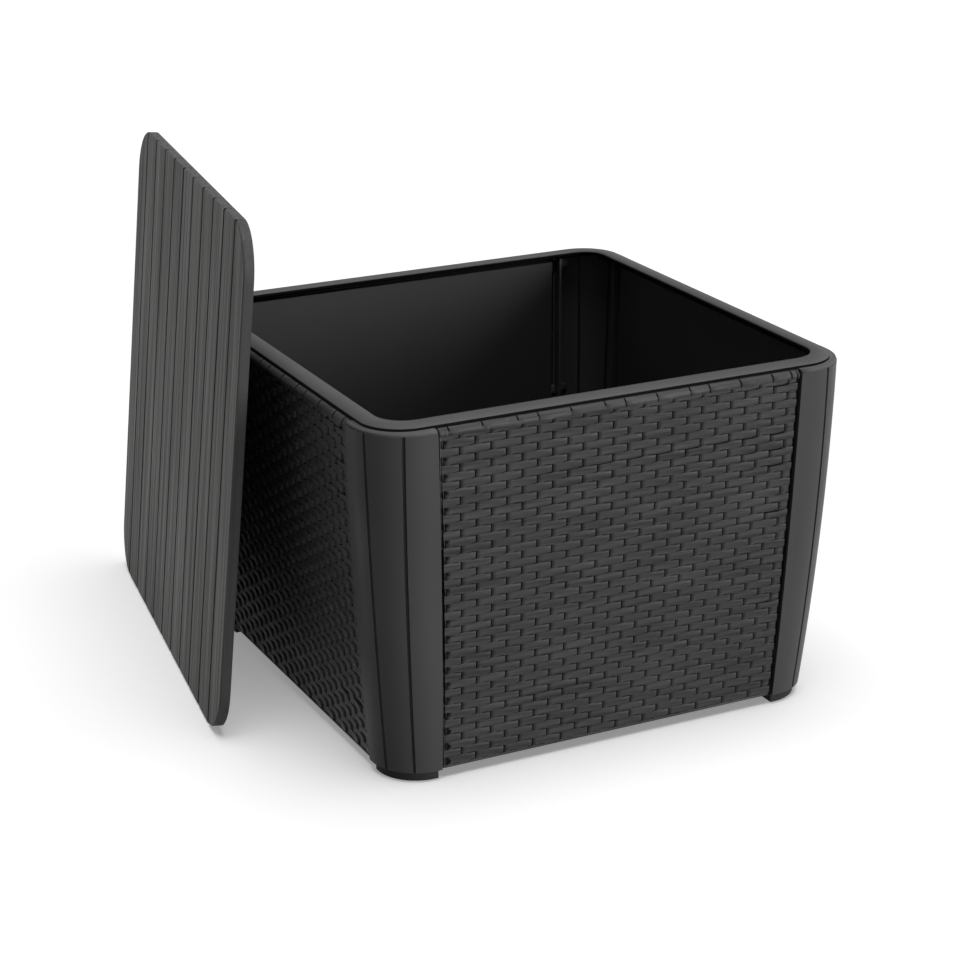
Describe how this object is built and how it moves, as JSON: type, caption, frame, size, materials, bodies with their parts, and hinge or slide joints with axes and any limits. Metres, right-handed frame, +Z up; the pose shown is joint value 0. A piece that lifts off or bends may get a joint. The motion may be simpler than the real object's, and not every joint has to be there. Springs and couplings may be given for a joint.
{
  "type": "storage table",
  "caption": "Low square outdoor table whose box stores things: woven-look resin walls between rounded posts, a raised rim and a loose slatted top, shown lifted off and leaning on the box",
  "frame": {"origin": "on the floor under the middle of the box, at the centre of the plane of the four feet", "axes": "+Z up, the front wall of the box faces -Y, the lid leans on the -X side"},
  "size_m": [0.6868, 0.8019, 0.5857],
  "materials": {
    "woven_wall": "moulded woven-look resin, dark graphite",
    "frame": "finely grained resin, dark graphite",
    "liner": "plain moulded resin, dark graphite",
    "foot": "plain moulded resin, near black",
    "table_top": "wood-grain moulded resin, graphite grey"
  },
  "bodies": {
    "box": {"wall_front": "woven_wall", "wall_rear": "woven_wall", "wall_left": "woven_wall", "wall_right": "woven_wall", "liner_front": "liner", "liner_rear": "liner", "liner_left": "liner", "liner_right": "liner", "corner_post_front_left": "frame", "corner_post_front_right": "frame", "corner_post_rear_left": "frame", "corner_post_rear_right": "frame", "foot_front_left": "foot", "foot_front_right": "foot", "foot_rear_left": "foot", "foot_rear_right": "foot", "rim_frame": "frame", "floor_panel": "liner"},
    "lid": {"lid_panel": "table_top", "lid_underframe": "foot"}
  },
  "joints": [
    {"name": "lid_lift", "type": "slide", "parent": "box", "child": "lid", "axis": [0, 0, 1], "range_m": [0, 0.45]}
  ]
}
